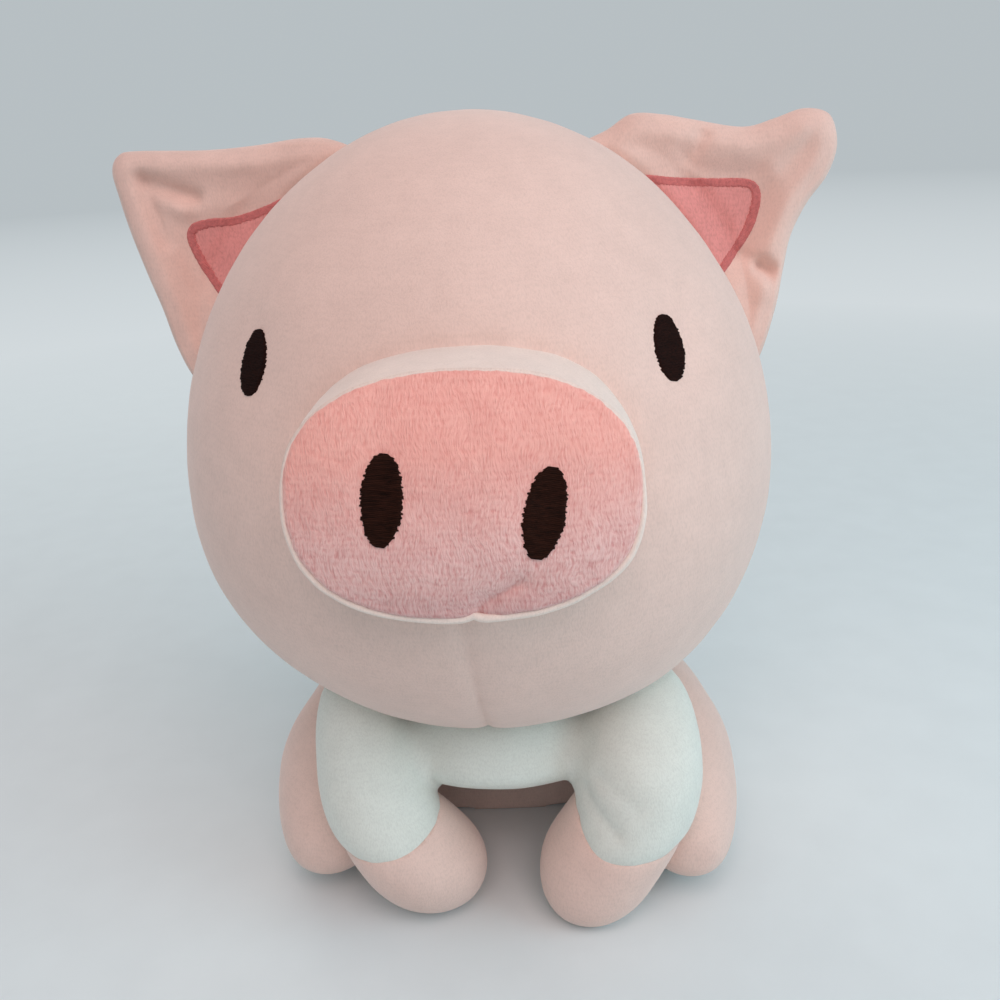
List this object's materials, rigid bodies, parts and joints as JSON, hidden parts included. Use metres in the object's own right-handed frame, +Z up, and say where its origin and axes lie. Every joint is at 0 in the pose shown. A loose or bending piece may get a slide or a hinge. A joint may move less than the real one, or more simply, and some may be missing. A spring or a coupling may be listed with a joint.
{
  "type": "plush pig",
  "caption": "Sitting stuffed toy pig in plush with a big round head, an oval snout, folding ears, a short shirt and soft legs.",
  "frame": {"origin": "on the floor, under the middle of the whole toy's box", "axes": "+Z up, -Y the way the snout points, +X towards the pig's own left"},
  "size_m": [0.2276, 0.2086, 0.2558],
  "materials": {
    "plush_pale": "short pale pink plush pile",
    "plush_coral": "short coral pink plush pile",
    "plush_rose": "short rose plush pile",
    "thread_rose": "satin-stitched rose thread",
    "plush_mint": "short very pale mint plush pile",
    "thread_brown": "satin-stitched dark brown thread",
    "thread_black": "satin-stitched near-black thread",
    "fibre": "white polyester fibre fill"
  },
  "bodies": {
    "torso": {"shirt_body": "plush_mint", "rump_cover": "plush_pale", "body_stuffing": "fibre"},
    "neck": {"neck_stuffing": "fibre"},
    "head": {"head_face_panel": "plush_pale", "head_back_left": "plush_pale", "head_back_right": "plush_pale", "head_stuffing": "fibre", "muzzle_band": "plush_pale", "snout_disc": "plush_coral", "nostril_left": "thread_brown", "nostril_right": "thread_brown", "eye_left": "thread_black", "eye_right": "thread_black"},
    "ear_left": {"ear_front_left": "plush_pale", "ear_back_left": "plush_pale", "ear_patch_left": "plush_rose", "ear_edging_left": "thread_rose"},
    "ear_right": {"ear_front_right": "plush_pale", "ear_back_right": "plush_pale", "ear_patch_right": "plush_rose", "ear_edging_right": "thread_rose"},
    "front_leg_left": {"sleeve_left": "plush_mint", "paw_left": "plush_pale", "front_leg_stuffing_left": "fibre"},
    "hind_leg_left": {"hind_leg_cover_left": "plush_pale", "hind_leg_stuffing_left": "fibre"},
    "front_leg_right": {"sleeve_right": "plush_mint", "paw_right": "plush_pale", "front_leg_stuffing_right": "fibre"},
    "hind_leg_right": {"hind_leg_cover_right": "plush_pale", "hind_leg_stuffing_right": "fibre"},
    "tail": {"tail": "plush_pale"}
  },
  "joints": [
    {"name": "head_nod", "type": "hinge", "parent": "torso", "child": "neck", "pos_m": [0, 0.01649, 0.066], "axis": [1, 0, 0], "range_deg": [-8, 8], "stiffness_Nm_per_rad": 3},
    {"name": "head_turn", "type": "hinge", "parent": "neck", "child": "head", "pos_m": [0, 0.01649, 0.066], "axis": [0, 0, 1], "range_deg": [-15, 15], "stiffness_Nm_per_rad": 1.5},
    {"name": "ear_fold_left", "type": "hinge", "parent": "head", "child": "ear_left", "pos_m": [0.089, 0.02377, 0.16432], "axis": [-0.5281, 0.1328, 0.8387], "range_deg": [-15, 15], "stiffness_Nm_per_rad": 0.05},
    {"name": "ear_fold_right", "type": "hinge", "parent": "head", "child": "ear_right", "pos_m": [-0.089, 0.02377, 0.16432], "axis": [0.5281, 0.1328, 0.8387], "range_deg": [-15, 15], "stiffness_Nm_per_rad": 0.05},
    {"name": "front_leg_swing_left", "type": "hinge", "parent": "torso", "child": "front_leg_left", "pos_m": [0.042, -0.01351, 0.055], "axis": [-1, 0, 0], "range_deg": [0, 15], "stiffness_Nm_per_rad": 0.6},
    {"name": "front_leg_swing_right", "type": "hinge", "parent": "torso", "child": "front_leg_right", "pos_m": [-0.042, -0.01351, 0.055], "axis": [-1, 0, 0], "range_deg": [0, 15], "stiffness_Nm_per_rad": 0.6},
    {"name": "hind_leg_spread_left", "type": "hinge", "parent": "torso", "child": "hind_leg_left", "pos_m": [0.056, 0.03649, 0.031], "axis": [0, 0, 1], "range_deg": [0, 15], "stiffness_Nm_per_rad": 0.6},
    {"name": "hind_leg_spread_right", "type": "hinge", "parent": "torso", "child": "hind_leg_right", "pos_m": [-0.056, 0.03649, 0.031], "axis": [0, 0, -1], "range_deg": [0, 15], "stiffness_Nm_per_rad": 0.6},
    {"name": "tail_swing", "type": "hinge", "parent": "torso", "child": "tail", "pos_m": [0, 0.06649, 0.034], "axis": [0, 0, 1], "range_deg": [-20, 20], "stiffness_Nm_per_rad": 0.02}
  ]
}
